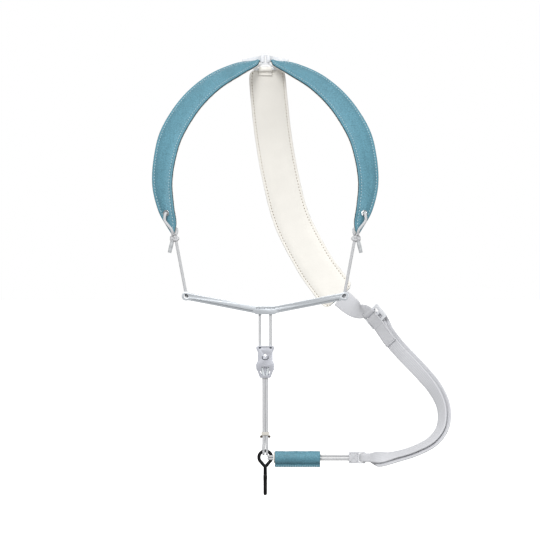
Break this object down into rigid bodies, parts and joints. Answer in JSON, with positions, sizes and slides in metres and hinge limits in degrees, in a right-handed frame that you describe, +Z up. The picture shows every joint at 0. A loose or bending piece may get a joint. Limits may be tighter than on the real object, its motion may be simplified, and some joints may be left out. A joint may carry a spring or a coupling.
{
  "type": "saxophone neck strap",
  "caption": "Neck strap with curved padded neck pads, a V-shaped spreader bar, a sliding cord adjuster, a coated hook and a padded shoulder sling.",
  "frame": {"origin": "nape of the neck, at the joint of the two neck pads on the nape link", "axes": "+X to the viewer's right (the wearer's left), +Y behind the wearer, +Z up"},
  "size_m": [0.3188, 0.1754, 0.4707],
  "materials": {
    "face_leather": "pebbled, matt",
    "back_leather": "pebbled, matt",
    "sleeve_leather": "pebbled, satin",
    "lining_leather": "smooth, matt",
    "tab_leather": "smooth, matt",
    "core_foam": "closed-cell foam",
    "eyelet_metal": "polished",
    "braided_cord": "braided, slightly glossy",
    "cord_binding": "braided, bound end",
    "link_plastic": "moulded",
    "anodised_bar": "satin anodised",
    "cast_metal": "polished cast",
    "keeper_metal": "aged",
    "keeper_sleeve": "matt",
    "coated_wire": "soft-coated steel wire",
    "strap_webbing": "soft woven",
    "buckle_plastic": "moulded"
  },
  "bodies": {
    "back": {"nape_link": "link_plastic", "back_tab": "tab_leather", "back_face": "back_leather", "back_core": "core_foam", "back_lining": "lining_leather", "sling_band": "strap_webbing", "sling_buckle": "buckle_plastic", "sling_fold": "strap_webbing", "sling_inner_upper": "strap_webbing", "sling_inner_lower": "strap_webbing", "sling_outer_upper": "strap_webbing", "sling_outer_lower": "strap_webbing", "spreader_bar": "anodised_bar", "bar_cord_left": "braided_cord", "bar_cord_right": "braided_cord", "drop_cord_left": "braided_cord", "drop_cord_right": "braided_cord", "upper_cord_left": "braided_cord", "upper_cord_right": "braided_cord"},
    "left_pad": {"pad_tab_left": "tab_leather", "pad_face_left": "face_leather", "pad_core_left": "core_foam", "pad_lining_left": "lining_leather", "pad_eyelet_left": "eyelet_metal", "pad_loop_left": "braided_cord", "pad_knot_left": "braided_cord", "cord_tail_left": "cord_binding"},
    "right_pad": {"pad_tab_right": "tab_leather", "pad_face_right": "face_leather", "pad_core_right": "core_foam", "pad_lining_right": "lining_leather", "pad_eyelet_right": "eyelet_metal", "pad_loop_right": "braided_cord", "pad_knot_right": "braided_cord", "cord_tail_right": "cord_binding"},
    "adjuster": {"adjuster_frame": "cast_metal", "adjuster_cord_left": "braided_cord", "adjuster_cord_right": "braided_cord", "adjuster_knots": "braided_cord"},
    "hook_carrier": {"lower_cords_front": "braided_cord", "lower_cords_back": "braided_cord", "eye_loops": "braided_cord"},
    "keeper": {"keeper_pin": "keeper_metal", "keeper_band": "keeper_sleeve"},
    "hook": {"hook": "coated_wire", "eye_hitch": "braided_cord"},
    "sling_end": {"sling_turn": "strap_webbing", "sling_tab": "strap_webbing", "sling_cord": "braided_cord"},
    "sleeve": {"sleeve_leather": "sleeve_leather", "sleeve_liner": "tab_leather"}
  },
  "joints": [
    {"name": "left_pad_swing", "type": "hinge", "parent": "back", "child": "left_pad", "pos_m": [-0.0033, 0, 0], "axis": [0, 0, 1], "range_deg": [-4, 6], "deforming": ["drop_cord_left"]},
    {"name": "right_pad_swing", "type": "hinge", "parent": "back", "child": "right_pad", "pos_m": [0.0033, 0, 0], "axis": [0, 0, 1], "range_deg": [-6, 4], "deforming": ["drop_cord_right"]},
    {"name": "adjuster_slide", "type": "slide", "parent": "back", "child": "adjuster", "axis": [0, 0, 1], "range_m": [-0.06, 0.03], "deforming": ["upper_cord_left", "upper_cord_right"]},
    {"name": "hook_drop", "type": "slide", "parent": "adjuster", "child": "hook_carrier", "axis": [0, 0, 1], "range_m": [-0.015, 0.03], "deforming": ["lower_cords_front", "lower_cords_back"]},
    {"name": "keeper_slide", "type": "slide", "parent": "hook_carrier", "child": "keeper", "axis": [0, 0, 1], "range_m": [0, 0.02]},
    {"name": "hook_swing", "type": "hinge", "parent": "hook_carrier", "child": "hook", "pos_m": [0, -0.135, -0.41695], "axis": [1, 0, 0], "range_deg": [-30, 30]},
    {"name": "sling_lift", "type": "slide", "parent": "back", "child": "sling_end", "axis": [0, 0, 1], "range_m": [-0.03, 0.015], "deforming": ["sling_inner_upper", "sling_inner_lower", "sling_outer_upper", "sling_outer_lower"]},
    {"name": "sleeve_slide", "type": "slide", "parent": "sling_end", "child": "sleeve", "axis": [1, 0, 0], "range_m": [0, 0.026]}
  ],
  "couplings": [
    {"joint": "hook_drop", "follows": "adjuster_slide", "ratio": -0.5},
    {"joint": "sling_lift", "follows": "adjuster_slide", "ratio": 0.5}
  ]
}
